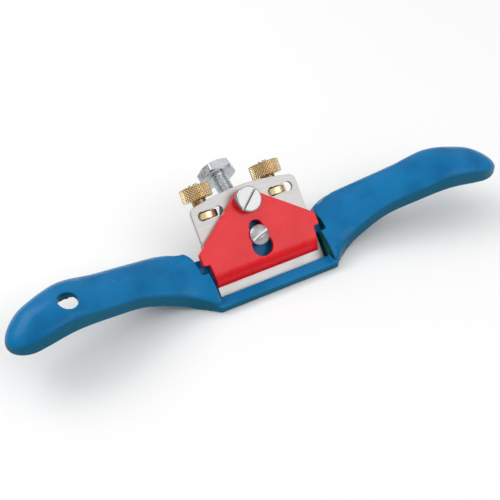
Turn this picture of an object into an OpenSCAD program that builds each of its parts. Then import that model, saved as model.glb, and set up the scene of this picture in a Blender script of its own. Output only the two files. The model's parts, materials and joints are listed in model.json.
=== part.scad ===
// Flat-faced spokeshave: cast body with two gull-wing handles, a steel blade on a sloping bed,
// a cast lever cap, and two knurled nuts that set the depth of cut.
// X runs along the handles, the toe is towards -Y, Z is up and the sole is at Z = 0.
// The origin is on the sole, where the middle of the cutting edge meets it.

/* [Overall] */
// Length from handle tip to handle tip
overall_length = 246; // [236:1:256]
// Angle of the blade bed above the sole
bed_angle = 45; // [44:0.5:46]

/* [Blade] */
// Width of the blade
blade_width = 54; // [52:0.5:54.5]
// Thickness of the blade
blade_thickness = 2; // [1.6:0.1:2.2]
// Distance from the cutting edge to the crown of the top edge
blade_length = 45.8; // [44:0.1:47]
// Sideways play taken up by the blade, towards +X
blade_offset = 1; // [0:0.1:1.2]

/* [Adjusting nuts] */
// Distance between the two studs
stud_spacing = 36; // [34:0.5:37]
// Diameter of the studs
stud_diameter = 5; // [4:0.1:5.2]
// Diameter over the knurl
nut_diameter = 14.4; // [12:0.1:15]
// Height of the knurled part
nut_height = 6.5; // [5:0.1:7]

/* [Lever cap] */
// Width of the cap at its front lip
cap_width = 52; // [50:0.5:53]
// Width of the cap across its ears
ear_width = 59.6; // [58:0.1:61]
// Height of the flat top above the blade
cap_height = 3.2; // [2.8:0.1:3.6]

/* [Screws] */
// Diameter of the clamp screw head
clamp_head_diameter = 11.8; // [10:0.1:12.5]
// Diameter of the centre screw head
centre_head_diameter = 9.4; // [8.6:0.1:9.6]
// Thread diameter of both slotted screws
screw_diameter = 6; // [5:0.1:6]
// Width of the hexagon bolt head across its flats
bolt_flats = 16.5; // [14:0.1:17]
// Thread diameter of the hexagon bolt
bolt_diameter = 8; // [7:0.1:10]

/* [Body] */
// Depth of the toe bar, front to back
toe_depth = 6.3; // [5:0.1:7]
// Height of the toe bar
toe_height = 3.5; // [3:0.1:4]
// Diameter of the hanging hole
hang_hole_diameter = 8.4; // [7:0.1:9]

/* [Hidden] */
$fn = 64;
slip = 0.1;                 // gap between two flat faces that slide or rest on each other
thread_gap = 0.05;          // radial gap of a screw in its thread
overlap = 0.5;              // depth by which fused pieces of one casting run into each other
reach = 80;                 // longer than any cut has to be
margin = 1;                 // cuts run this far past the face they open
below_sole = 5;             // castings are drawn this far below the sole and cut flat

half_length = overall_length / 2;
half_blade = blade_width / 2;
bed_drop = blade_thickness + slip;      // the bed lies this far under the blade's front face

// Mouth and toe bar
mouth_gap = 1.2;
toe_front = mouth_gap + toe_depth;
toe_half = 31.5;
toe_corner = 1.5;           // chamfer of the toe bar's front corners

// Recess between the cheeks: narrow at the mouth, wide where the ears of the cap sit
cheek_half = 28.9;
ear_recess_half = 32.1;
ear_recess_start = 13.3;
corner_turn = 7;            // radius of the cheeks' rounded rear corners, seen square to the bed
corner_start = 20;
relief_turn = 14;           // the corners are rounded further below this distance behind the blade
relief_start = 14;
relief_depth = 5;

// Blade
arch_radius = 105;
corner_radius = 3;
slot_height = 37.9;
slot_half_length = 6.3;
slot_lobe_left = 2.15;
slot_lobe_right = 2.4;
slot_waist = 3.9;
centre_slot_half = 6.5;
centre_slot_low = 14.5;
centre_slot_high = 28;
bevel_length = 3.6;

// Studs and nuts, measured along the bed from the cutting edge
stud_x = stud_spacing / 2;
stud_depth = 6.5;           // distance of the stud axis behind the blade's front face
stud_start = 18;
stud_end = 53.3;
nut_start = 45.9;
flange_thickness = 3.4;
flange_radius = 6.1;
neck_radius = 3.4;
nut_chamfer = 0.3;

// Lever cap, measured along the bed from the cutting edge
cap_front = 5.5;
cap_half = cap_width / 2;
shoulder_half = cap_half + 0.9;
ear_half = ear_width / 2;
notch_height = 16.4;
ear_low = 16.8;
ear_high = 22.3;
lip_end = 13;
keyhole_low = 16.5;
keyhole_high = 25.3;
keyhole_neck = 3.3;
keyhole_round = 5;
hollow_half = 22.9;
clamp_height = 38.1;
apex_radius = 5.6;
lip_height = 0.7;           // height of the lip's blunt front edge
hollow_depth = 1.1;         // the underside of the cap is hollow by this much

// Slotted screws
centre_height = 21.4;
centre_dome = 2.9;
centre_rim = 0.9;
centre_slot_width = 1.3;
centre_slot_depth = 1.6;
centre_slot_turn = 19;
centre_screw_end = -10;
clamp_head_height = 4.3;
clamp_slot_width = 0.9;
clamp_slot_depth = 1.6;
clamp_slot_turn = 41;
clamp_head_bevel = 0.4;
clamp_lift = 0.3;           // gap under the clamp screw's head

// Hexagon bolt: its axis lies in the middle plane and rises to the back
bolt_tilt = 19;
bolt_face = [0, 51.5, 23.8];
bolt_head_height = 5.6;
bolt_head_bevel = 1;        // how far the chamfer reaches in from the flats
bolt_length = 21;
bolt_point = 0.8;
boss_start = 15;
boss_end = 31;
boss_radius = 7;

// Bed block behind the blade
bed_top = 29;
bed_low_top = 20;
bed_pad_half = 22;
bed_tongue_top = 40;
bed_tongue_half = 8;
bed_back = 11.5;
sole_back = 26;

// Handles: [place from cheek to tip as 0 to 1, centre y, centre z, half width, half height, slope]
handle_root = 26;
handle_stations = [
    [0.00, 10.2,  5.5, 17.7, 8.2, 0.22],
    [0.05, 10.3,  5.5, 17.7, 8.3, 0.22],
    [0.10, 12.4,  6.0, 16.0, 8.3, 0.20],
    [0.15, 13.2,  7.2, 14.2, 8.2, 0.17],
    [0.21, 13.7,  9.4, 13.6, 7.8, 0.12],
    [0.37, 12.6, 14.8, 12.0, 7.2, 0.04],
    [0.53, 10.4, 18.6, 12.3, 7.3, 0],
    [0.70,  7.7, 22.6, 13.0, 8.0, 0],
    [0.84,  4.9, 21.8, 12.0, 7.6, 0],
    [1.00,  1.5, 19.2,  9.6, 6.0, 0]
];
section_count = 20;
section_points = 24;
front_flat = 0.92;          // the front of each section is cut off flat at this share of its half width
tip_round = 12;             // length over which the tip closes
tip_steps = [0.35, 0.6, 0.78, 0.9, 0.97, 1];
tip_end_scale = 0.12;
hang_hole_x = -94.3;
hang_hole_y = 3.8;

// Hollow underside of the handles
hollow_from = 42;
hollow_to = 113;
hollow_round = 14;          // length over which each end of the hollow closes
hollow_side_wall = 3.2;
hollow_top_wall = 2.8;
hollow_steps = [0, 0.15, 0.4, 0.7, 1];
hollow_count = 9;
hollow_points = 16;
hollow_end_scale = 0.3;

// Place on the bed as seen in the X direction: v up the bed, n out of it
function bed_point(v, n) =
    [v * cos(bed_angle) - n * sin(bed_angle), v * sin(bed_angle) + n * cos(bed_angle)];

// Smooth curve through column c of the handle stations
function slope_at(i, c) =
    let (last = len(handle_stations) - 1, low = max(i - 1, 0), high = min(i + 1, last))
    (handle_stations[high][c] - handle_stations[low][c])
    / (handle_stations[high][0] - handle_stations[low][0]);
function station_index(u, i = 0) =
    (i >= len(handle_stations) - 2 || u < handle_stations[i + 1][0]) ? i : station_index(u, i + 1);
function handle_value(u, c) =
    let (i = station_index(u),
         span = handle_stations[i + 1][0] - handle_stations[i][0],
         t = (u - handle_stations[i][0]) / span)
    (2 * pow(t, 3) - 3 * pow(t, 2) + 1) * handle_stations[i][c]
    + (pow(t, 3) - 2 * pow(t, 2) + t) * span * slope_at(i, c)
    + (3 * pow(t, 2) - 2 * pow(t, 3)) * handle_stations[i + 1][c]
    + (pow(t, 3) - pow(t, 2)) * span * slope_at(i + 1, c);

// Places of the sections along X: even along the handle, then closer together round the tip
tip_start = half_length - tip_round;
section_places = concat(
    [for (i = [0 : section_count - 1]) handle_root + (tip_start - handle_root) * i / (section_count - 1)],
    [for (s = tip_steps) tip_start + tip_round * s]);
function tip_scale(x) =
    x <= tip_start ? 1 : max(tip_end_scale, sqrt(1 - pow((x - tip_start) / tip_round, 2)));

// Places of the hollow's sections, closer together at both ends
hollow_span = hollow_to - hollow_from - 2 * hollow_round;
hollow_places = concat(
    [for (s = hollow_steps) hollow_from + hollow_round * s],
    [for (i = [1 : hollow_count]) hollow_from + hollow_round + hollow_span * i / hollow_count],
    [for (i = [len(hollow_steps) - 2 : -1 : 0]) hollow_to - hollow_round * hollow_steps[i]]);
function hollow_scale(x) =
    let (inside = min(x - hollow_from, hollow_to - x) / hollow_round)
    inside >= 1 ? 1 : max(hollow_end_scale, sqrt(1 - pow(1 - inside, 2)));

// Section of the handle at x, with all its sizes scaled. The front is cut off at the given share.
function handle_section(x, count, scale, front, side_wall, top_wall) =
    let (u = (x - handle_root) / (half_length - handle_root),
         cy = handle_value(u, 1),
         cz = handle_value(u, 2) - top_wall,
         a = (handle_value(u, 3) - side_wall) * scale,
         b = handle_value(u, 4) * scale,
         k = handle_value(u, 5))
    [for (j = [0 : count - 1])
        let (angle = 360 * j / count,
             across = a * max(cos(angle), -front))
        [x, cy + across, cz + b * sin(angle) + k * across]];

// Closed skin over a list of sections
module skin(sections) {
    rows = len(sections);
    count = len(sections[0]);
    sides = [for (i = [0 : rows - 2], j = [0 : count - 1])
        let (k = (j + 1) % count,
             p = i * count,
             q = p + count)
        each [[p + j, q + j, p + k], [p + k, q + j, q + k]]];
    first = [for (j = [0 : count - 1]) j];
    last = [for (j = [count - 1 : -1 : 0]) (rows - 1) * count + j];
    polyhedron([for (section = sections) each section], concat(sides, [first, last]), convexity = 4);
}

module handle_skin() {
    skin([for (x = section_places) handle_section(x, section_points, tip_scale(x), front_flat, 0, 0)]);
}

module handle_hollow() {
    skin([for (x = hollow_places)
        handle_section(x, hollow_points, hollow_scale(x), 1, hollow_side_wall, hollow_top_wall)]);
}

// Moves its children onto the bed: their Y runs up the bed and their Z out of it
module on_bed() {
    rotate([bed_angle, 0, 0]) children();
}

// Space behind a cheek with a rounded corner, between two heights out of the bed
module cheek_corner(turn, start, low, high) {
    on_bed() translate([0, start, low]) linear_extrude(high - low) difference() {
        square([ear_recess_half + turn, reach]);
        translate([ear_recess_half + turn, 0]) circle(turn);
    }
}

// Handle with its cheek, on the +X side: hollow underneath, the cheek's rear corner rounded off
module handle() {
    difference() {
        handle_skin();
        handle_hollow();
        cheek_corner(corner_turn, corner_start, -relief_depth - margin, reach);
        cheek_corner(relief_turn, relief_start, -reach, -relief_depth);
    }
}

// Solid of the given outline in the YZ plane, centred on X = 0
module across(width, outline) {
    rotate([90, 0, 90]) linear_extrude(width, center = true) polygon(outline);
}

// Everything from the bed plane outwards, above a height on the bed and within a half width
module bed_cut(half_width, start) {
    on_bed() translate([-half_width, start, -bed_drop]) cube([2 * half_width, reach, reach]);
}

module bed_block(half_width, top) {
    back = bed_point(top, -bed_back);
    across(2 * half_width, [
        [0, -below_sole],
        bed_point(0, 0),
        bed_point(top, 0),
        back,
        [back[0], back[1] / 2],
        [sole_back, -below_sole]
    ]);
}

// Moves its children onto the bolt: their origin is the bearing face, their Z runs to the thread's end
module on_bolt() {
    translate(bolt_face) rotate([90 + bolt_tilt, 0, 0]) children();
}

module body_casting() {
    difference() {
        union() {
            handle();
            mirror([1, 0, 0]) handle();
            bed_block(cheek_half + overlap, bed_low_top);
            bed_block(bed_pad_half, bed_top);
            bed_block(bed_tongue_half, bed_tongue_top);
            on_bolt() translate([0, 0, boss_start]) cylinder(r = boss_radius, h = boss_end - boss_start);
        }
        bed_cut(cheek_half, -toe_front);
        bed_cut(ear_recess_half, ear_recess_start);
    }
    translate([0, 0, -below_sole]) linear_extrude(toe_height + below_sole) polygon([
        [-toe_half, -mouth_gap],
        [-toe_half, toe_corner - toe_front],
        [toe_corner - toe_half, -toe_front],
        [toe_half - toe_corner, -toe_front],
        [toe_half, toe_corner - toe_front],
        [toe_half, -mouth_gap]
    ]);
}

module body() {
    color("steelblue") difference() {
        body_casting();
        translate([-reach, -reach, -reach]) cube([2 * reach, 2 * reach, reach]);
        translate([hang_hole_x, hang_hole_y, -margin]) cylinder(d = hang_hole_diameter, h = reach);
        for (side = [-1, 1])
            on_bed() translate([side * stud_x, stud_start, -stud_depth]) rotate([-90, 0, 0])
                cylinder(d = stud_diameter, h = reach);
        on_bed() translate([0, centre_height, centre_screw_end - overlap])
            cylinder(d = screw_diameter + 2 * thread_gap, h = reach);
        on_bolt() cylinder(d = bolt_diameter + 2 * thread_gap, h = bolt_length + overlap);
    }
}

// Stud on the given side, with a chamfered end
module stud(side) {
    chamfer = 0.6;
    color("silver") on_bed() translate([side * stud_x, stud_start, -stud_depth]) rotate([-90, 0, 0]) {
        cylinder(d = stud_diameter, h = stud_end - stud_start - chamfer);
        translate([0, 0, stud_end - stud_start - chamfer])
            cylinder(d1 = stud_diameter, d2 = stud_diameter - 2 * chamfer, h = chamfer);
    }
}

// Knurled nut with a neck and a flange that works in the blade's slot
module nut(side) {
    flange_start = slot_height - flange_thickness / 2;
    bore = stud_diameter / 2 + thread_gap;
    outer = nut_diameter / 2;
    nut_end = nut_start + nut_height;
    color("goldenrod") on_bed() translate([side * stud_x, 0, -stud_depth]) rotate([-90, 0, 0])
        rotate_extrude() polygon([
            [bore, flange_start],
            [flange_radius, flange_start],
            [flange_radius, flange_start + flange_thickness],
            [neck_radius, flange_start + flange_thickness],
            [neck_radius, nut_start],
            [outer - nut_chamfer, nut_start],
            [outer, nut_start + nut_chamfer],
            [outer, nut_end - nut_chamfer],
            [outer - nut_chamfer, nut_end],
            [bore, nut_end]
        ]);
}

// Slot of the blade: two round ends joined by a narrower waist
module side_slot(x) {
    left = -slot_half_length + slot_lobe_left;
    right = slot_half_length - slot_lobe_right;
    translate([x, slot_height]) {
        translate([left, 0]) circle(slot_lobe_left);
        translate([right, 0]) circle(slot_lobe_right);
        translate([left, -slot_waist / 2]) square([right - left, slot_waist]);
    }
}

module blade_outline() {
    corner_x = half_blade - corner_radius;
    arch_centre = blade_length - arch_radius;
    corner_y = arch_centre + sqrt(pow(arch_radius - corner_radius, 2) - pow(corner_x, 2));
    intersection() {
        translate([0, arch_centre]) circle(arch_radius, $fn = 360);
        union() {
            translate([-half_blade, 0]) square([blade_width, corner_y]);
            translate([-corner_x, 0]) square([2 * corner_x, blade_length]);
            for (side = [-1, 1]) translate([side * corner_x, corner_y]) circle(corner_radius);
        }
    }
}

module blade() {
    color("lightgray") on_bed() translate([blade_offset, 0, 0]) intersection() {
        translate([0, 0, -blade_thickness]) linear_extrude(blade_thickness) difference() {
            blade_outline();
            for (side = [-1, 1]) side_slot(side * stud_x);
            translate([-centre_slot_half, centre_slot_low])
                square([2 * centre_slot_half, centre_slot_high - centre_slot_low]);
            translate([0, centre_slot_low]) circle(centre_slot_half);
            translate([0, centre_slot_high]) circle(centre_slot_half);
        }
        across(blade_width + margin, [
            [0, 0],
            [reach, 0],
            [reach, -blade_thickness],
            [bevel_length, -blade_thickness]
        ]);
    }
}

// Outline of the cap seen square on: lip, notches, ears and the round apex under the clamp screw
module cap_outline() {
    rise = clamp_height - ear_high;
    side_angle = atan2(rise, ear_half) + asin(apex_radius / norm([ear_half, rise]));
    touch = [apex_radius * sin(side_angle), clamp_height + apex_radius * cos(side_angle)];
    right = [
        [cap_half, cap_front],
        [shoulder_half, notch_height],
        [ear_half, ear_low],
        [ear_half, ear_high],
        touch
    ];
    polygon(concat(right, [for (i = [len(right) - 1 : -1 : 0]) [-right[i][0], right[i][1]]]));
    translate([0, clamp_height]) circle(apex_radius);
}

// Side view of the cap along the bed: a flat top that rolls down to the lip
module cap_profile_solid() {
    run = lip_end - cap_front;
    drop = cap_height - lip_height;
    radius = (pow(run, 2) + pow(drop, 2)) / (2 * drop);
    sweep = asin(run / radius);
    steps = 10;
    roll = [for (i = [0 : steps])
        let (angle = sweep * (1 - i / steps))
        [lip_end - radius * sin(angle), cap_height - radius + radius * cos(angle)]];
    across(2 * ear_half + margin, concat(
        [[cap_front, slip]],
        roll,
        [[reach, cap_height], [reach, slip]]));
}

module keyhole() {
    depth = cap_height + 2 * margin;
    translate([0, keyhole_high, -margin]) cylinder(r = keyhole_neck, h = depth);
    translate([-keyhole_neck, keyhole_low, -margin])
        cube([2 * keyhole_neck, keyhole_high - keyhole_low, depth]);
    translate([0, keyhole_low, -margin]) cylinder(r = keyhole_round, h = depth);
}

module lever_cap() {
    color("crimson") on_bed() difference() {
        intersection() {
            linear_extrude(cap_height) cap_outline();
            cap_profile_solid();
        }
        translate([-hollow_half, lip_end, slip - margin])
            cube([2 * hollow_half, ear_high - lip_end, hollow_depth + margin]);
        keyhole();
        translate([0, clamp_height, -margin])
            cylinder(d = screw_diameter + 2 * thread_gap, h = cap_height + 2 * margin);
    }
}

// Straight slot across a screw's head, cut down from the given height
module driver_slot(top, depth, width, turn) {
    rotate([0, 0, turn]) translate([-reach / 2, -width / 2, top - depth])
        cube([reach, width, depth + margin]);
}

// Large slotted cheese head screw that presses on the blade
module clamp_screw() {
    head_base = cap_height + clamp_lift;
    head_radius = clamp_head_diameter / 2;
    color("silver") on_bed() translate([0, clamp_height, 0]) difference() {
        union() {
            translate([0, 0, slip]) cylinder(d = screw_diameter, h = head_base - slip);
            translate([0, 0, head_base]) rotate_extrude() polygon([
                [0, 0],
                [head_radius, 0],
                [head_radius, clamp_head_height - clamp_head_bevel],
                [head_radius - clamp_head_bevel, clamp_head_height],
                [0, clamp_head_height]
            ]);
        }
        driver_slot(head_base + clamp_head_height, clamp_slot_depth, clamp_slot_width, clamp_slot_turn);
    }
}

// Domed slotted screw that passes through the keyhole into the bed
module centre_screw() {
    head_base = cap_height + slip;
    head_radius = centre_head_diameter / 2;
    dome_rise = centre_dome - centre_rim;
    dome_radius = (pow(head_radius, 2) + pow(dome_rise, 2)) / (2 * dome_rise);
    color("silver") on_bed() translate([0, centre_height, 0]) difference() {
        union() {
            translate([0, 0, centre_screw_end])
                cylinder(d = screw_diameter, h = head_base - centre_screw_end);
            translate([0, 0, head_base]) intersection() {
                cylinder(r = head_radius, h = centre_dome);
                translate([0, 0, centre_dome - dome_radius]) sphere(dome_radius);
            }
        }
        driver_slot(head_base + centre_dome, centre_slot_depth, centre_slot_width, centre_slot_turn);
    }
}

// Bolt behind the blade: hexagon head with a chamfered face, and a shank of the thread's full diameter
module hex_bolt() {
    corner = bolt_flats / (2 * cos(30));
    face_radius = bolt_flats / 2 - bolt_head_bevel;
    color("gainsboro") on_bolt() {
        intersection() {
            translate([0, 0, -bolt_head_height]) cylinder(r = corner, h = bolt_head_height, $fn = 6);
            translate([0, 0, -bolt_head_height]) rotate_extrude() polygon([
                [0, 0],
                [face_radius, 0],
                [corner, (corner - face_radius) * tan(30)],
                [corner, bolt_head_height],
                [0, bolt_head_height]
            ]);
        }
        cylinder(d = bolt_diameter, h = bolt_length - bolt_point);
        translate([0, 0, bolt_length - bolt_point])
            cylinder(d1 = bolt_diameter, d2 = bolt_diameter - 2 * bolt_point, h = bolt_point);
    }
}

body();
stud(-1);  // stud_left
stud(1);  // stud_right
nut(-1);  // nut_left
nut(1);  // nut_right
blade();
lever_cap();
clamp_screw();
centre_screw();
hex_bolt();
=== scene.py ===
"""Looks of a flat-faced spokeshave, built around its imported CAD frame.

Shapes are drawn in millimetres, on the blade bed or on a screw's axis, and stored in metres.
"""
import json
import math

import bmesh
import bpy
import numpy as np
from mathutils import Matrix, Vector


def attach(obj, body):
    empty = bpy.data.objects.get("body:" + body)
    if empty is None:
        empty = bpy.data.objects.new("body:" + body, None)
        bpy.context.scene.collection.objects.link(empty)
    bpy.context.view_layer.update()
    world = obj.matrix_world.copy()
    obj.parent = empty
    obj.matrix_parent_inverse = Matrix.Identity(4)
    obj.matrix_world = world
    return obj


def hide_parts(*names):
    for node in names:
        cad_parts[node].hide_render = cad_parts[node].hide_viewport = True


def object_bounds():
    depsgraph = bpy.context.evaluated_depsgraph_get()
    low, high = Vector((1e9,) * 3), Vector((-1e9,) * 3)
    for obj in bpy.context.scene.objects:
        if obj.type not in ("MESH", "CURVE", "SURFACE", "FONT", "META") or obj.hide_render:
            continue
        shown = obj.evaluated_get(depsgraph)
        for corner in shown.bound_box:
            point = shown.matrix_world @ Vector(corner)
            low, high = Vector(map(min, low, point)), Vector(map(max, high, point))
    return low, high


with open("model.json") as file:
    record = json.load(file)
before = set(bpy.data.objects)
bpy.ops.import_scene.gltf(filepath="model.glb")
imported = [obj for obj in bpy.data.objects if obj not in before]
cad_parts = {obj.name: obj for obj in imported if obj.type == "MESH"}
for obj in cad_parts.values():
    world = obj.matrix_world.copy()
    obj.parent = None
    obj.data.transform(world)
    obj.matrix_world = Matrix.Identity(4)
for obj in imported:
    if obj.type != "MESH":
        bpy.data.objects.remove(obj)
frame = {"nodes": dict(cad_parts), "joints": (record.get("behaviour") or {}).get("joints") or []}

cad_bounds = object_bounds()

MM = 0.001
JOINTS = {joint["name"]: joint for joint in frame["joints"]}
RIGHT = Vector((1, 0, 0))
REACH = 90  # longer than any cut has to be

# ---------------------------------------------------------------- axes


def matrix_of(x_axis, y_axis, z_axis, origin=(0, 0, 0)):
    """Matrix from millimetres along the given axes to metres in the frame."""
    matrix = Matrix.Identity(4)
    for column, axis in enumerate((x_axis, y_axis, z_axis)):
        for row in range(3):
            matrix[row][column] = axis[row] * MM
    for row in range(3):
        matrix[row][3] = origin[row]
    return matrix


def axis_matrix(axis, origin):
    """Matrix whose Z runs along an axis that is square to the handles, and whose X is the frame's."""
    z_axis = Vector(axis).normalized()
    return matrix_of(RIGHT, z_axis.cross(RIGHT), z_axis, origin)


def bolt_matrix():
    """Origin on the hexagon bolt's bearing face, Z towards the end of its thread."""
    bolt = JOINTS["hex_bolt_turn"]
    return axis_matrix([-a for a in bolt["axis"]], bolt["pos_m"])


def joint_matrix(name):
    return axis_matrix(JOINTS[name]["axis"], JOINTS[name]["pos_m"])


UP_BED = Vector(JOINTS["blade_depth"]["axis"]).normalized()
OUT_OF_BED = RIGHT.cross(UP_BED)
FRAME = matrix_of((1, 0, 0), (0, 1, 0), (0, 0, 1))
BED = matrix_of(RIGHT, UP_BED, OUT_OF_BED)


def node_span(node, axis):
    """Lowest and highest place of a CAD node along a direction of the frame, in millimetres."""
    points = np.array([v.co for v in frame["nodes"][node].data.vertices])
    places = points @ np.array(axis) / MM
    return float(places.min()), float(places.max())


# ---------------------------------------------------------------- meshes


def new_object(name, mesh):
    piece = bpy.data.objects.new(name, mesh)
    bpy.context.scene.collection.objects.link(piece)
    return piece


def mesh_object(name, points, faces, matrix):
    mesh = bpy.data.meshes.new(name)
    mesh.from_pydata(np.asarray(points).tolist(), [], faces)
    mesh.transform(matrix)
    mesh.validate()
    return new_object(name, mesh)


def ring_faces(rows, count, closed):
    """Quads between rings of points; the last ring joins the first where closed, else ends get a lid."""
    faces = []
    for row in range(rows if closed else rows - 1):
        low, high = row * count, (row + 1) % rows * count
        faces += [(low + i, low + (i + 1) % count, high + (i + 1) % count, high + i) for i in range(count)]
    if not closed:
        faces.append(tuple(reversed(range(count))))
        faces.append(tuple(range((rows - 1) * count, rows * count)))
    return faces


def turned(name, radii, heights, matrix, count=96, closed=False, shape=None):
    """Solid of revolution. shape(radius, height, angle) may change the radius."""
    angles = np.linspace(0, 2 * math.pi, count, endpoint=False)
    radius = np.repeat(np.asarray(radii, float)[:, None], count, axis=1)
    height = np.repeat(np.asarray(heights, float)[:, None], count, axis=1)
    if shape:
        radius = shape(radius, height, angles[None, :])
    points = np.stack([radius * np.cos(angles), radius * np.sin(angles), height], axis=-1)
    return mesh_object(name, points.reshape(-1, 3), ring_faces(len(radii), count, closed), matrix)


def box(name, low, high, matrix):
    points = [(x, y, z) for x in (low[0], high[0]) for y in (low[1], high[1]) for z in (low[2], high[2])]
    faces = [(0, 1, 3, 2), (4, 6, 7, 5), (0, 4, 5, 1), (2, 3, 7, 6), (0, 2, 6, 4), (1, 5, 7, 3)]
    return mesh_object(name, points, faces, matrix)


def anticlockwise(outline):
    """The same outline, turned round if it runs clockwise."""
    pairs = zip(outline, outline[1:] + outline[:1])
    area = sum(first[0] * second[1] - second[0] * first[1] for first, second in pairs)
    return outline[::-1] if area < 0 else outline


def prism(name, outline, half_width, matrix):
    """Solid with the given outline in the YZ plane, centred on X = 0."""
    outline = anticlockwise(outline)
    count = len(outline)
    points = [(x, y, z) for x in (-half_width, half_width) for y, z in outline]
    sides = [(i, (i + 1) % count, count + (i + 1) % count, count + i) for i in range(count)]
    lids = [tuple(reversed(range(count))), tuple(range(count, 2 * count))]
    return mesh_object(name, points, sides + lids, matrix)


def upright(name, outline, low, high, matrix):
    """Solid with the given outline in the XY plane, between two heights."""
    outline = anticlockwise(outline)
    count = len(outline)
    points = [(x, y, n) for n in (low, high) for x, y in outline]
    return mesh_object(name, points, ring_faces(2, count, False), matrix)


def bake_modifiers(piece):
    """Replaces the piece's mesh with the one its modifiers make."""
    bpy.context.view_layer.update()
    graph = bpy.context.evaluated_depsgraph_get()
    mesh = bpy.data.meshes.new_from_object(piece.evaluated_get(graph))
    piece.modifiers.clear()
    piece.data = mesh
    return piece


def combine(piece, other, operation):
    """Boolean of two closed meshes; the second is used up."""
    modifier = piece.modifiers.new("cut", "BOOLEAN")
    modifier.operation = operation
    modifier.solver = "MANIFOLD"
    modifier.object = other
    bake_modifiers(piece)
    bpy.data.objects.remove(other)
    return piece


def cut(piece, *others):
    for other in others:
        combine(piece, other, "DIFFERENCE")
    return piece


def fuse(piece, *others):
    for other in others:
        combine(piece, other, "UNION")
    return piece


def soften(piece, voxel, rounds):
    """Rounds every edge a little, as a casting or a worn screw has it."""
    remesh = piece.modifiers.new("remesh", "REMESH")
    remesh.mode = "VOXEL"
    remesh.voxel_size = voxel * MM
    smooth = piece.modifiers.new("smooth", "SMOOTH")
    smooth.factor = 0.5
    smooth.iterations = rounds
    return bake_modifiers(piece)


def join(piece, *others):
    """Adds the other pieces' meshes to the first one's."""
    whole = bmesh.new()
    for part in (piece, *others):
        whole.from_mesh(part.data)
    whole.to_mesh(piece.data)
    whole.free()
    for other in others:
        bpy.data.objects.remove(other)
    return piece


def shade(piece, sharp_angle):
    """Smooth shading, with edges sharper than the angle kept crisp."""
    mesh = bmesh.new()
    mesh.from_mesh(piece.data)
    bmesh.ops.recalc_face_normals(mesh, faces=mesh.faces)
    for face in mesh.faces:
        face.smooth = True
    for edge in mesh.edges:
        edge.smooth = len(edge.link_faces) == 2 and edge.calc_face_angle() < math.radians(sharp_angle)
    mesh.to_mesh(piece.data)
    mesh.free()
    return piece


def arc(centre, radius, start, end, steps):
    """Points of an arc, angles in degrees."""
    angles = np.radians(np.linspace(start, end, steps))
    return [(centre[0] + radius * math.cos(a), centre[1] + radius * math.sin(a)) for a in angles]


def plate(name, outline, holes, low, high, edge, matrix):
    """Flat plate between two heights, with softened edges and holes of any outline."""
    curve = bpy.data.curves.new(name, "CURVE")
    curve.dimensions = "2D"
    curve.fill_mode = "BOTH"
    curve.extrude = (high - low) / 2 - edge
    curve.bevel_depth = edge
    curve.bevel_resolution = 2
    curve.offset = -edge
    for loop in (outline, *holes):
        spline = curve.splines.new("POLY")
        spline.points.add(len(loop) - 1)
        spline.use_cyclic_u = True
        for point, (x, y) in zip(spline.points, loop):
            point.co = (x, y, 0, 1)
    holder = new_object(name, curve)
    bpy.context.view_layer.update()
    graph = bpy.context.evaluated_depsgraph_get()
    mesh = bpy.data.meshes.new_from_object(holder.evaluated_get(graph))
    bpy.data.objects.remove(holder)
    mesh.transform(matrix @ Matrix.Translation((0, 0, (low + high) / 2)))
    piece = new_object(name, mesh)
    weld = bmesh.new()
    weld.from_mesh(mesh)
    bmesh.ops.remove_doubles(weld, verts=weld.verts, dist=1e-7)
    weld.to_mesh(mesh)
    weld.free()
    return piece


# ---------------------------------------------------------------- materials


class Shader:
    """A Principled material and short ways to add nodes to it."""

    def __init__(self, name, **sockets):
        self.material = bpy.data.materials.new(name)
        self.material.use_nodes = True
        self.tree = self.material.node_tree
        self.surface = self.tree.nodes["Principled BSDF"]
        self.place = self.add("ShaderNodeTexCoord").outputs["Object"]
        for socket, value in sockets.items():
            self.feed(self.surface.inputs[socket.replace("_", " ")], value)

    def feed(self, socket, value):
        if isinstance(value, bpy.types.NodeSocket):
            self.tree.links.new(value, socket)
        else:
            socket.default_value = value

    def add(self, kind, inputs=None, **settings):
        node = self.tree.nodes.new(kind)
        for setting, value in settings.items():
            setattr(node, setting, value)
        for socket, value in (inputs or {}).items():
            self.feed(node.inputs[socket], value)
        return node

    def noise(self, size, detail=3, roughness=0.5, stretch=(1, 1, 1)):
        """Noise whose features are about size millimetres across."""
        place = self.add("ShaderNodeMapping", {"Vector": self.place, "Scale": stretch}).outputs[0]
        inputs = {"Vector": place, "Scale": 1 / (size * MM), "Detail": detail, "Roughness": roughness}
        return self.add("ShaderNodeTexNoise", inputs).outputs["Fac"]

    def spread(self, value, low, high, to_low, to_high):
        """Maps a value from one range to another, without going past its ends."""
        inputs = {"Value": value, "From Min": low, "From Max": high, "To Min": to_low, "To Max": to_high}
        return self.add("ShaderNodeMapRange", inputs).outputs[0]

    def maths(self, operation, first, second=0.0):
        return self.add("ShaderNodeMath", {0: first, 1: second}, operation=operation).outputs[0]

    def mix(self, amount, first, second):
        """Colour mix."""
        node = self.add("ShaderNodeMix", data_type="RGBA")
        self.feed(node.inputs[0], amount)
        self.feed(node.inputs[6], (*first, 1) if isinstance(first, tuple) else first)
        self.feed(node.inputs[7], (*second, 1) if isinstance(second, tuple) else second)
        return node.outputs[2]

    def edges(self, low, high):
        """0 on flat faces and 1 on sharp outer edges; low and high the other way round give hollows."""
        point = self.add("ShaderNodeNewGeometry").outputs["Pointiness"]
        return self.spread(point, low, high, 0, 1)

    def bump(self, *layers):
        """Bump layers, each a value and its height in millimetres."""
        normal = None
        for value, height in layers:
            inputs = {"Height": value, "Distance": height * MM}
            if normal:
                inputs["Normal"] = normal
            normal = self.add("ShaderNodeBump", inputs).outputs[0]
        self.feed(self.surface.inputs["Normal"], normal)


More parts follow.
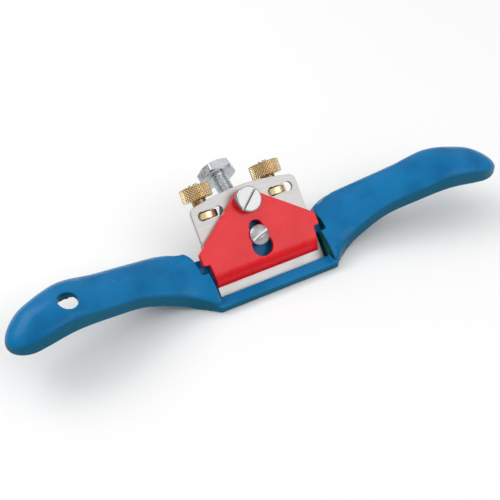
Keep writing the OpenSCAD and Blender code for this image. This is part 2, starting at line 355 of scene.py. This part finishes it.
def enamel(name, deep, light, worn_and_highlit, orange_peel, shine):
    """Thick glossy paint over a cast surface: random lighter patches, partly a painted highlight, and lighter
    sharp edges, partly paint rubbed a little and partly a painted edge highlight.
    """
    shader = Shader(name, Specular_IOR_Level=shine, Coat_Weight=shine, Coat_Roughness=0.1)
    # random lighter patches of paint, which also serve as a painted highlight
    tone_and_sheen_patches = shader.spread(shader.noise(14, 2), 0.35, 0.65, 0, 1)
    paint_with_painted_light = shader.mix(tone_and_sheen_patches, deep, light)
    # sharp edges lightened: partly paint rubbed a little, partly a painted edge highlight
    broken_up = shader.spread(shader.noise(3, 4), 0.45, 0.6, 0, 0.7)
    rubbed_and_highlit_edges = shader.maths("MULTIPLY", shader.edges(0.53, 0.6), broken_up)
    shader.feed(shader.surface.inputs["Base Color"], shader.mix(rubbed_and_highlit_edges, paint_with_painted_light, worn_and_highlit))
    shader.feed(shader.surface.inputs["Roughness"], shader.spread(shader.noise(5, 3), 0.3, 0.7, 0.2, 0.34))
    shader.bump((shader.noise(7, 1), 0.3), (shader.noise(1.4, 2), orange_peel))
    return shader


def body_paint():
    # the second blue tints random patches, partly a painted highlight; the third lightens sharp edges, partly
    # rubbed paint, partly a painted edge highlight
    shader = enamel("blue_enamel", (0.0, 0.13, 0.33), (0.004, 0.172, 0.41), (0.03, 0.28, 0.54), 0.035, 0.09)
    # painted shade: steep faces are darkened towards deep blue, and faces turned along X, such as the cheeks'
    # walls, towards a dark green-teal; the ground sole is bare
    geometry = shader.add("ShaderNodeNewGeometry")
    height = shader.add("ShaderNodeSeparateXYZ", {0: geometry.outputs["Position"]}).outputs[2]
    normal = shader.add("ShaderNodeSeparateXYZ", {0: geometry.outputs["Normal"]})
    facing = normal.outputs[2]
    low = shader.spread(height, 0.0002, 0.0005, 1, 0)
    sole = shader.maths("MULTIPLY", low, shader.spread(facing, -0.9, -0.7, 1, 0))
    grind = shader.noise(0.5, 4, 0.6, (0.06, 1, 1))
    iron = shader.mix(grind, (0.28, 0.275, 0.27), (0.5, 0.49, 0.48))
    paint_with_painted_light = shader.surface.inputs["Base Color"].links[0].from_socket
    # painted shade on faces that don't face upwards
    paint_with_painted_light = shader.mix(shader.spread(facing, 0.05, 0.55, 0.9, 0), paint_with_painted_light, (0.0, 0.095, 0.16))
    # painted shade, dark green-teal, on faces turned along X, such as the cheeks' walls
    sideways = shader.maths("ABSOLUTE", normal.outputs[0])
    paint_with_painted_light = shader.mix(shader.spread(sideways, 0.85, 0.97, 0, 0.9), paint_with_painted_light, (0.0, 0.075, 0.065))
    gloss = shader.surface.inputs["Roughness"].links[0].from_socket
    shader.feed(shader.surface.inputs["Base Color"], shader.mix(sole, paint_with_painted_light, iron))
    shader.feed(shader.surface.inputs["Metallic"], sole)
    rough = shader.spread(grind, 0.3, 0.7, 0.28, 0.42)
    node = shader.add("ShaderNodeMix", data_type="FLOAT")
    shader.feed(node.inputs[0], sole)
    shader.feed(node.inputs[2], gloss)
    shader.feed(node.inputs[3], rough)
    shader.feed(shader.surface.inputs["Roughness"], node.outputs[0])
    return shader.material


def cap_paint():
    # the second red tints random patches, partly a painted highlight; the third lightens sharp edges, partly
    # rubbed paint, partly a painted edge highlight
    deep, light, worn_and_highlit = (0.78, 0.004, 0.01), (0.86, 0.008, 0.02), (0.9, 0.05, 0.05)
    return enamel("red_enamel", deep, light, worn_and_highlit, 0.05, 0.22).material


def brushed(name, dark, bright, grain, rough, stretch):
    """Bare metal with fine lines along one direction, and faint handling marks."""
    shader = Shader(name, Metallic=1.0)
    lines = shader.noise(grain, 5, 0.65, stretch)
    cloud = shader.noise(9, 3)
    tone = shader.spread(shader.maths("ADD", lines, cloud), 0.75, 1.25, 0, 1)
    shader.feed(shader.surface.inputs["Base Color"], shader.mix(tone, dark, bright))
    shader.feed(shader.surface.inputs["Roughness"], shader.spread(cloud, 0.3, 0.7, *rough))
    shader.bump((lines, 0.012), (shader.noise(0.5, 2), 0.004))
    return shader


def brass_metal():
    shader = Shader("brass", Metallic=1.0)
    tone = shader.spread(shader.noise(2.5, 3), 0.3, 0.7, 0, 1)
    face = shader.mix(tone, (0.8, 0.6, 0.34), (0.95, 0.76, 0.48))
    # painted shade: the valleys between the knurl's diamonds and other concave places are darkened to a deep
    # brown
    hollow = shader.edges(0.49, 0.43)
    shader.feed(shader.surface.inputs["Base Color"], shader.mix(hollow, face, (0.22, 0.11, 0.035)))
    shader.feed(shader.surface.inputs["Roughness"], shader.spread(shader.noise(1.2, 3), 0.3, 0.7, 0.22, 0.36))
    shader.bump((shader.noise(0.35, 3), 0.012))
    return shader.material


def plated(name, dark, bright, rough):
    """Plated steel: soft clouds in the plating, and painted shade darkening the hollows between threads."""
    shader = Shader(name, Metallic=1.0)
    cloud = shader.noise(2.2, 4, 0.6)
    face = shader.mix(shader.spread(cloud, 0.3, 0.7, 0, 1), dark, bright)
    # painted shade in the hollows between threads and in other concave places
    hollow = shader.edges(0.48, 0.42)
    shader.feed(shader.surface.inputs["Base Color"], shader.mix(hollow, face, (0.13, 0.13, 0.14)))
    shader.feed(shader.surface.inputs["Roughness"], shader.spread(cloud, 0.3, 0.7, *rough))
    shader.bump((shader.noise(0.4, 3), 0.012), (shader.noise(3, 1), 0.03))
    return shader.material


BLUE = body_paint()
RED = cap_paint()
STEEL = brushed(
    "blade_steel", (0.37, 0.361, 0.355), (0.51, 0.498, 0.49), 0.35, (0.36, 0.48), (0.04, 1, 1)).material
BRASS = brass_metal()
BRIGHT = plated("bright_steel", (0.46, 0.462, 0.465), (0.57, 0.57, 0.57), (0.36, 0.46))
ZINC = plated("zinc_plate", (0.6, 0.63, 0.66), (0.78, 0.8, 0.83), (0.2, 0.34))
STUD_STEEL = plated("stud_steel", (0.42, 0.42, 0.42), (0.6, 0.6, 0.6), (0.25, 0.4))


def finish_piece(piece, material, body, node, sharp_angle=None):
    if sharp_angle:
        shade(piece, sharp_angle)
    piece.data.materials.clear()
    piece.data.materials.append(material)
    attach(piece, body)
    if node:
        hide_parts(node)
    return piece


# ---------------------------------------------------------------- body casting

HALF_LENGTH = cad_bounds[1][0] / MM
HANDLE_ROOT = 26
TIP_ROUND = 12
# place from cheek to tip as 0 to 1, centre y, centre z, half width, half height, slope
HANDLE_STATIONS = np.array([
    [0.00, 10.2, 5.5, 17.7, 8.2, 0.22],
    [0.05, 10.3, 5.5, 17.7, 8.3, 0.22],
    [0.10, 12.4, 6.0, 16.0, 8.3, 0.20],
    [0.15, 13.2, 7.2, 14.2, 8.2, 0.17],
    [0.21, 13.7, 9.4, 13.6, 7.8, 0.12],
    [0.37, 12.6, 14.8, 12.0, 7.2, 0.04],
    [0.53, 10.4, 18.6, 12.3, 7.3, 0],
    [0.70, 7.7, 22.6, 13.0, 8.0, 0],
    [0.84, 4.9, 21.8, 12.0, 7.6, 0],
    [1.00, 1.5, 19.2, 9.6, 6.0, 0],
])
FRONT_FLAT = 0.92
HOLLOW_FROM, HOLLOW_TO, HOLLOW_ROUND = 42, 113, 14
HOLLOW_SIDE_WALL, HOLLOW_TOP_WALL = 3.2, 2.8
HOLLOW_END_SCALE = 0.3
CHEEK_HALF = 28.9
EAR_RECESS_HALF = 32.1
EAR_RECESS_START = 13.3
# rounded rear corners of the cheeks: radius, start up the bed, and the heights between which they hold
CORNERS = ((7, 20, -6, REACH), (14, 14, -REACH, -5))
BED_DROP = 2.1
BED_BACK = 11.5
SOLE_BACK = 26
BELOW_SOLE = 5
TOE_FRONT, TOE_BACK, TOE_HEIGHT = -7.5, -1.2, 3.5
TOE_HALF, TOE_CORNER = 31.5, 1.5
HANG_HOLE = (-94.3, 3.8)
HANG_HOLE_RADIUS = 4.2
BOSS_START, BOSS_END, BOSS_RADIUS = 15, 31, 7
OVERLAP = 0.5
BED_STEPS = ((CHEEK_HALF + OVERLAP, 20), (22, 29), (8, 40))  # half width and top of each step of the bed block
SCREW_HOLE_RADIUS = 3.05
BOLT_HOLE_RADIUS = 4.05


def station_values(u):
    """Smooth curve through each column of the handle stations."""
    places = HANDLE_STATIONS[:, 0]
    last = len(places) - 1
    index = np.clip(np.searchsorted(places, u, side="right") - 1, 0, last - 1)
    slopes = np.array([
        (HANDLE_STATIONS[min(i + 1, last)] - HANDLE_STATIONS[max(i - 1, 0)])
        / (places[min(i + 1, last)] - places[max(i - 1, 0)])
        for i in range(last + 1)])
    span = places[index + 1] - places[index]
    t = (u - places[index]) / span
    return (
        (2 * t**3 - 3 * t**2 + 1) * HANDLE_STATIONS[index]
        + (t**3 - 2 * t**2 + t) * span * slopes[index]
        + (3 * t**2 - 2 * t**3) * HANDLE_STATIONS[index + 1]
        + (t**3 - t**2) * span * slopes[index + 1])


def handle_section(x, count, scale, front, side_wall, top_wall):
    """Section of the handle at x, all its sizes scaled and its front cut off at the given share."""
    _, cy, cz, a, b, slope = station_values((x - HANDLE_ROOT) / (HALF_LENGTH - HANDLE_ROOT))
    angles = np.linspace(0, 2 * math.pi, count, endpoint=False)
    y = (a - side_wall) * scale * np.maximum(np.cos(angles), -front)
    z = cz - top_wall + b * scale * np.sin(angles) + slope * y
    return np.stack([np.full(count, x), cy + y, z], axis=-1)


def skin(name, sections, side):
    rings = [section * np.array([side, 1, 1]) for section in sections]
    if side < 0:
        rings.reverse()
    return mesh_object(name, np.concatenate(rings), ring_faces(len(rings), len(rings[0]), False), FRAME)


def handle(side):
    """One handle with its cheek: hollow underneath, the rear corner of the cheek rounded off."""
    tip_start = HALF_LENGTH - TIP_ROUND
    straight = np.linspace(HANDLE_ROOT, tip_start, 150, endpoint=False)
    tip = tip_start + TIP_ROUND * np.sin(np.radians(np.linspace(0, 88, 26)))
    outside = [
        handle_section(x, 96, math.sqrt(1 - (max(0, x - tip_start) / TIP_ROUND) ** 2), FRONT_FLAT, 0, 0)
        for x in (*straight, *tip)]
    ends = HOLLOW_ROUND * (1 - np.cos(np.radians(np.linspace(3, 90, 16))))
    middle = np.linspace(HOLLOW_FROM + HOLLOW_ROUND, HOLLOW_TO - HOLLOW_ROUND, 60)[1:-1]
    inside = []
    for x in (*(HOLLOW_FROM + ends), *middle, *(HOLLOW_TO - ends[::-1])):
        share = min(1, min(x - HOLLOW_FROM, HOLLOW_TO - x) / HOLLOW_ROUND)
        scale = max(HOLLOW_END_SCALE, math.sqrt(1 - (1 - share) ** 2))
        inside.append(handle_section(x, 64, scale, 1, HOLLOW_SIDE_WALL, HOLLOW_TOP_WALL))
    piece = cut(skin("handle", outside, side), skin("hollow", inside, side))
    for turn, start, low, high in CORNERS:
        corner = EAR_RECESS_HALF + turn
        edge = [(side * x, y) for x, y in arc((corner, start), turn, 180, 90, 24)]
        outline = [(0, start), *edge, (side * corner, REACH), (0, REACH)]
        cut(piece, upright("corner", outline, low, high, BED))
    return piece


def bed_point(v, n):
    place = v * UP_BED + n * OUT_OF_BED
    return place.y, place.z


def bed_block(half_width, top):
    back = bed_point(top, -BED_BACK)
    outline = [
        (0, -BELOW_SOLE), (SOLE_BACK, -BELOW_SOLE), (back[0], back[1] / 2), back, bed_point(top, 0), (0, 0)]
    return prism("bed", outline, half_width, FRAME)


def bed_cutter(half_width, start):
    return box("recess", (-half_width, start, -BED_DROP), (half_width, REACH, REACH), BED)


def rod(name, radius, low, high, matrix, count=64):
    return turned(name, [radius, radius], [low, high], matrix, count)


def body_casting():
    into_bolt = bolt_matrix()
    casting = fuse(
        handle(1), handle(-1),
        *(bed_block(half_width, top) for half_width, top in BED_STEPS),
        rod("boss", BOSS_RADIUS, BOSS_START, BOSS_END, into_bolt))
    cut(casting, bed_cutter(CHEEK_HALF, -20), bed_cutter(EAR_RECESS_HALF, EAR_RECESS_START))
    right = [(TOE_HALF - TOE_CORNER, TOE_FRONT), (TOE_HALF, TOE_FRONT + TOE_CORNER), (TOE_HALF, TOE_BACK)]
    toe = [*right, *((-x, y) for x, y in reversed(right))]
    fuse(casting, upright("toe", toe, -BELOW_SOLE, TOE_HEIGHT, FRAME))
    cut(casting, box("under", (-2 * REACH, -REACH, -REACH), (2 * REACH, REACH, 0), FRAME))
    hole_matrix = axis_matrix((0, 0, 1), (HANG_HOLE[0] * MM, HANG_HOLE[1] * MM, 0))
    cut(casting, rod("hole", HANG_HOLE_RADIUS, -1, REACH, hole_matrix))
    soften(casting, 0.4, 7)
    # the threaded holes are cut after the softening, so they keep their size
    screw_hole = rod("screw_hole", SCREW_HOLE_RADIUS, -10.5, REACH, joint_matrix("centre_screw_turn"))
    bolt_hole = rod("bolt_hole", BOLT_HOLE_RADIUS, 0, 21.5, into_bolt)
    cut(casting, screw_hole, bolt_hole)
    casting.name = "body_casting"
    return finish_piece(casting, BLUE, "frame_body", "body", 50)


# ---------------------------------------------------------------- threads, studs and nuts


def thread_shape(pitch, depth, low, high, fade):
    """Screw thread cut into a rod, fading out at both ends."""

    def shape(radius, height, angle):
        turn = (height / pitch - angle / (2 * math.pi)) % 1.0
        groove = np.clip((np.abs(2 * turn - 1) - 0.1) / 0.8, 0, 1)
        ends = np.clip((height - low) / fade, 0, 1) * np.clip((high - height) / fade, 0, 1)
        return np.where(radius > 2 * depth, radius - depth * groove * ends, radius)

    return shape


def threaded_rod(name, radius, low, high, pitch, chamfer, matrix, count=64, plain_low=False):
    """Threaded rod from low to high; its high end is chamfered, and its low end too unless plain."""
    rows = int((high - low) / pitch * 20)
    heights = list(np.linspace(low + (0 if plain_low else chamfer), high - chamfer, rows))
    radii = [radius] * rows
    heights += [high - 0.04, high]
    radii += [radius - chamfer, radius - chamfer - 0.08]
    if not plain_low:
        heights = [low, low + 0.04] + heights
        radii = [radius - chamfer - 0.08, radius - chamfer] + radii
    shape = thread_shape(pitch, 0.58 * pitch, low, high, 0.8 * pitch)
    return shade(turned(name, radii, heights, matrix, count, shape=shape), 75)


def stud(side_name):
    """Stud of one side; its place comes from its nut's joint, its ends from the CAD stud."""
    node = "stud_" + side_name
    matrix = joint_matrix(f"nut_{side_name}_turn")
    centre = Vector(JOINTS[f"nut_{side_name}_turn"]["pos_m"]).dot(UP_BED) / MM
    low, high = (place - centre for place in node_span(node, UP_BED))
    piece = threaded_rod(node + "_thread", 2.5, low, high, 0.8, 0.45, matrix, 48)
    return finish_piece(piece, STUD_STEEL, "frame_body", node)


KNURL_COUNT = 30
KNURL_DEPTH = 0.5


def knurl_shape(radius_outer, low, high):
    """Diamond knurl: two sets of crossing grooves between two heights."""
    pitch = 2 * math.pi * radius_outer / KNURL_COUNT

    def shape(radius, height, angle):
        along = (height - low) / pitch * 1.05
        around = angle * KNURL_COUNT / (2 * math.pi)
        first = np.abs(2 * ((around + along) % 1.0) - 1)
        second = np.abs(2 * ((around - along) % 1.0) - 1)
        pyramid = np.clip(1.6 * np.minimum(first, second), 0, 1)
        inside = np.clip((height - low) / 0.15, 0, 1) * np.clip((high - height) / 0.15, 0, 1)
        outer = radius > radius_outer - 0.01
        return np.where(outer & (inside > 0), radius - KNURL_DEPTH * (1 - pyramid) * inside, radius)

    return shape


def nut(side_name):
    """Knurled brass nut with its neck and flange, as one closed ring."""
    node = "nut_" + side_name
    matrix = joint_matrix(f"nut_{side_name}_turn")
    centre = Vector(JOINTS[f"nut_{side_name}_turn"]["pos_m"]).dot(UP_BED) / MM
    low, high = (place - centre for place in node_span(node, UP_BED))
    outer = 7.2
    knurl_low = high - 6.5
    bore, neck, flange = 2.56, 3.4, 6.1
    flange_top = low + 3.4
    fine = np.linspace(knurl_low + 0.3, high - 0.3, 72)
    profile = [
        (bore, low + 0.3), (bore + 0.3, low), (flange - 0.35, low), (flange, low + 0.35),
        (flange, flange_top - 0.35), (flange - 0.35, flange_top), (neck + 0.5, flange_top),
        (neck, flange_top + 0.4), (neck, knurl_low - 0.3), (neck + 0.3, knurl_low),
        (outer - 0.55, knurl_low), (outer - 0.35, knurl_low + 0.2)]
    profile += [(outer, height) for height in fine]
    profile += [
        (outer - 0.35, high - 0.2), (outer - 0.55, high), (bore + 1.6, high), (bore + 1.4, high - 0.25),
        (bore + 0.5, high - 0.25), (bore, high - 0.7)]
    radii, heights = zip(*profile)
    piece = turned(node + "_knurled", radii, heights, matrix, KNURL_COUNT * 8, True,
                   knurl_shape(outer, fine[0], fine[-1]))
    return finish_piece(piece, BRASS, f"nut_{side_name}_body", node, 38)


# ---------------------------------------------------------------- blade

SLOT_HEIGHT = 37.9
SLOT_X = abs(JOINTS["nut_left_turn"]["pos_m"][0]) / MM
BLADE_THICKNESS = 2.0


def side_slot(centre_x):
    """Slot with a round end on each side and a narrower waist."""
    half, left_radius, right_radius, waist = 6.3, 2.15, 2.4, 1.95
    left = centre_x - half + left_radius
    right = centre_x + half - right_radius
    left_cut = math.degrees(math.asin(waist / left_radius))
    right_cut = math.degrees(math.asin(waist / right_radius))
    return (
        arc((left, SLOT_HEIGHT), left_radius, left_cut, 360 - left_cut, 24)
        + arc((right, SLOT_HEIGHT), right_radius, right_cut - 180, 180 - right_cut, 24))


def blade():
    low_x, high_x = node_span("blade", RIGHT)
    centre_x = (low_x + high_x) / 2
    half = (high_x - low_x) / 2
    top = node_span("blade", UP_BED)[1]
    arch_radius, corner_radius = 105, 3
    corner_x = half - corner_radius
    corner_y = top - arch_radius + math.sqrt((arch_radius - corner_radius) ** 2 - corner_x**2)
    corner_angle = math.degrees(math.atan2(corner_y - top + arch_radius, corner_x))
    foot_radius = 0.8
    right = (
        arc((half - foot_radius, foot_radius), foot_radius, -90, 0, 6)
        + arc((corner_x, corner_y), corner_radius, 0, corner_angle, 12)
        + arc((0, top - arch_radius), arch_radius, corner_angle, 90, 40)[1:])
    outline = [(centre_x + x, y) for x, y in right] + [(centre_x - x, y) for x, y in reversed(right[:-1])]
    centre_slot = arc((centre_x, 28), 6.5, 0, 180, 32) + arc((centre_x, 14.5), 6.5, 180, 360, 32)
    holes = [side_slot(centre_x - SLOT_X), side_slot(centre_x + SLOT_X), centre_slot]
    piece = plate("blade_steel", outline, holes, -BLADE_THICKNESS, 0, 0.12, BED)
    bevel = [(-1, -3), (3.6, -3), (3.6, -BLADE_THICKNESS), (0.05, -0.02), (-1, -0.02)]
    cut(piece, prism("bevel", bevel, REACH, BED))
    return finish_piece(piece, STEEL, "blade_body", "blade", 12)


# ---------------------------------------------------------------- lever cap

CAP_HEIGHT = 3.2
CAP_FRONT = 5.5
LIP_END = 13
EAR_LOW, EAR_HIGH = 16.8, 22.3
CLAMP_HEIGHT = (Vector(JOINTS["clamp_screw_turn"]["pos_m"]).dot(UP_BED)) / MM
APEX_RADIUS = 5.6


def lever_cap():
    ear_half = node_span("lever_cap", RIGHT)[1]
    rise = CLAMP_HEIGHT - EAR_HIGH
    side_angle = math.degrees(math.atan2(rise, ear_half) + math.asin(APEX_RADIUS / math.hypot(ear_half, rise)))
    right = [(26, CAP_FRONT), (26.9, 16.4), (ear_half, EAR_LOW), (ear_half, EAR_HIGH)]
    right += arc((0, CLAMP_HEIGHT), APEX_RADIUS, 90 - side_angle, 90, 14)
    outline = right + [(-x, y) for x, y in reversed(right[:-1])]
    low_centre, high_centre = 16.5, 25.3
    round_radius, neck_radius = 5.0, 3.3
    neck_angle = math.degrees(math.acos(neck_radius / round_radius))
    keyhole = arc((0, low_centre), round_radius, 180 - neck_angle, 360 + neck_angle, 40)
    keyhole += arc((0, high_centre), neck_radius, 0, 180, 24)
    piece = plate("cap", outline, [keyhole], 0.1, CAP_HEIGHT, 0.05, BED)
    # the front rolls down to a blunt lip
    run, drop = LIP_END - CAP_FRONT, CAP_HEIGHT - 0.7
    radius = (run**2 + drop**2) / (2 * drop)
    sweep = math.degrees(math.asin(run / radius))
    roll = arc((LIP_END, CAP_HEIGHT - radius), radius, 90, 90 + sweep, 24)
    above = [(LIP_END, 6), *roll, (CAP_FRONT - 2, 0.7), (CAP_FRONT - 2, 6)]
    cut(piece, prism("roll", above, REACH, BED))
    cut(piece, box("hollow", (-22.9, LIP_END, -1), (22.9, EAR_HIGH, 1.2), BED))
    soften(piece, 0.2, 4)
    screw_hole = rod("screw_hole", SCREW_HOLE_RADIUS, -10, 10, joint_matrix("clamp_screw_turn"))
    cut(piece, screw_hole)
    piece.name = "lever_cap_casting"
    return finish_piece(piece, RED, "cap_body", "lever_cap", 50)


# ---------------------------------------------------------------- screws

CLAMP_SLOT_TURN, CENTRE_SLOT_TURN = 41, 19


def slotted_head(name, radii, heights, slot_width, slot_floor, turn, matrix, voxel):
    """Turned head with a driver slot across it, its edges softened."""
    head = turned(name, radii, heights, matrix, 128)
    top = max(heights)
    low, high = (-REACH, -slot_width / 2, slot_floor), (REACH, slot_width / 2, top + 5)
    slot = box("slot", low, high, matrix @ Matrix.Rotation(math.radians(turn), 4, "Z"))
    cut(head, slot)
    return soften(head, voxel, 3)


def clamp_screw():
    matrix = axis_matrix(OUT_OF_BED, CLAMP_HEIGHT * MM * UP_BED)
    radius = 5.9
    base, top = 3.5, 7.8
    radii = [radius - 0.25, radius, radius, radius - 0.45, 0.01]
    heights = [base, base + 0.25, top - 0.45, top, top + 0.12]
    head = slotted_head("clamp_screw_head", radii, heights, 0.9, top - 1.6, CLAMP_SLOT_TURN, matrix, 0.12)
    shade(head, 45)
    shank = threaded_rod("shank", 3.0, 0.1, base + 0.1, 1.0, 0.4, matrix, 64)
    return finish_piece(join(head, shank), BRIGHT, "clamp_screw_body", "clamp_screw")


def centre_screw():
    matrix = joint_matrix("centre_screw_turn")
    radius, rim = 4.7, 0.9
    base = CAP_HEIGHT + 0.1
    rise = 2.0
    dome_radius = (radius**2 + rise**2) / (2 * rise)
    angles = np.linspace(math.asin(radius / dome_radius), 0.002, 20)
    radii = [radius - 0.2, radius, *(dome_radius * np.sin(angles))]
    heights = [base, base + 0.2, *(base + rim + rise - dome_radius + dome_radius * np.cos(angles))]
    head = slotted_head("centre_screw_head", radii, heights, 1.3, base + 1.3, CENTRE_SLOT_TURN, matrix, 0.1)
    shade(head, 45)
    shank = threaded_rod("shank", 3.0, -base - 10, base + 0.1, 1.0, 0.4, matrix, 64)
    return finish_piece(join(head, shank), BRIGHT, "centre_screw_body", "centre_screw")


def hex_bolt():
    """Hexagon bolt: head with a chamfered face and a washer face, and a thread to its end."""
    matrix = bolt_matrix()
    flats, head_height, length, washer = 16.5, 5.6, 21.0, 0.3
    corner = flats / math.sqrt(3)
    sector = math.radians(60)

    def hex_shape(radius, height, angle):
        """Holds the radius inside the hexagon, whose corners are slightly rounded."""
        flat = flats / 2 / np.cos(angle % sector - sector / 2)
        return np.minimum(radius, np.minimum(flat, corner - 0.16))

    rows = np.linspace(-head_height, -washer, 44)
    top_chamfer = flats / 2 - 1 + (rows + head_height) / math.tan(math.radians(30))
    under_chamfer = flats / 2 + 0.5 + (-washer - rows) / math.tan(math.radians(30))
    radii = [0.01, flats / 2 - 1.4, *np.minimum(top_chamfer, under_chamfer), flats / 2 - 0.3]
    heights = [-head_height, -head_height, *rows, -washer]
    radii += [flats / 2 - 0.4, 0.01]
    heights += [0, 0]
    head = shade(turned("hex_bolt_head", radii, heights, matrix, 6 * 40, shape=hex_shape), 24)
    shank = threaded_rod("shank", 4.0, -0.1, length, 1.25, 0.6, matrix, 96, plain_low=True)
    return finish_piece(join(head, shank), ZINC, "hex_bolt_body", "hex_bolt")


body_casting()
for side_name in ("left", "right"):
    stud(side_name)
    nut(side_name)
blade()
lever_cap()
clamp_screw()
centre_screw()
hex_bolt()

# ---------------------------------------------------------------- floor, light and camera


def studio_floor():
    half = 3
    points = [(-half, -half, 0), (half, -half, 0), (half, half, 0), (-half, half, 0)]
    mesh = bpy.data.meshes.new("floor")
    mesh.from_pydata(points, [], [(0, 1, 2, 3)])
    floor = new_object("floor", mesh)
    floor.location.z = cad_bounds[0][2] - 0.0003
    shader = Shader("pale_floor", Base_Color=(0.95, 0.95, 0.95, 1), Roughness=0.6)
    mesh.materials.append(shader.material)


def soft_box(name, place, aim, size, power):
    light = bpy.data.lights.new(name, "AREA")
    light.shape = "RECTANGLE"
    light.size, light.size_y = size
    light.energy = power
    holder = bpy.data.objects.new(name, light)
    holder.location = place
    holder.rotation_euler = (Vector(aim) - Vector(place)).to_track_quat("-Z", "Y").to_euler()
    bpy.context.scene.collection.objects.link(holder)


def studio_light():
    world = bpy.data.worlds.new("studio")
    world.use_nodes = True
    tree = world.node_tree
    background = tree.nodes["Background"]
    background.inputs["Color"].default_value = (1, 1, 1, 1)
    background.inputs["Strength"].default_value = 1.0
    height = tree.nodes.new("ShaderNodeSeparateXYZ")
    tree.links.new(tree.nodes.new("ShaderNodeTexCoord").outputs["Generated"], height.inputs[0])
    ramp = tree.nodes.new("ShaderNodeMapRange")
    for socket, value in (("From Min", 0.0), ("From Max", 0.6), ("To Min", 0.12), ("To Max", 0.85)):
        ramp.inputs[socket].default_value = value
    tree.links.new(height.outputs[2], ramp.inputs["Value"])
    tree.links.new(ramp.outputs[0], background.inputs["Strength"])
    bpy.context.scene.world = world
    centre = (0, 0, 0.02)
    soft_box("front_box", (0.45, -0.75, 0.75), centre, (0.8, 0.6), 2.6)
    soft_box("back_box", (-0.5, 0.6, 0.7), centre, (0.8, 0.5), 3.5)


CAMERA_PLACE = Vector((-174.5, -297.6, 326.4)) * MM
CAMERA_AIM = Vector((-7.3, 8.3, 15.0)) * MM
CAMERA_ROLL = -0.66
CAMERA_LENS = 75.27


def camera():
    data = bpy.data.cameras.new("camera")
    data.lens = CAMERA_LENS
    data.sensor_width = 36
    data.clip_start = 0.01
    holder = bpy.data.objects.new("camera", data)
    turn = (CAMERA_AIM - CAMERA_PLACE).to_track_quat("-Z", "Y").to_matrix().to_4x4()
    roll = Matrix.Rotation(math.radians(CAMERA_ROLL), 4, "Z")
    holder.matrix_world = Matrix.Translation(CAMERA_PLACE) @ turn @ roll
    bpy.context.scene.collection.objects.link(holder)
    bpy.context.scene.camera = holder


studio_floor()
studio_light()
camera()
bpy.context.scene.view_settings.view_transform = "Standard"

bpy.context.view_layer.update()
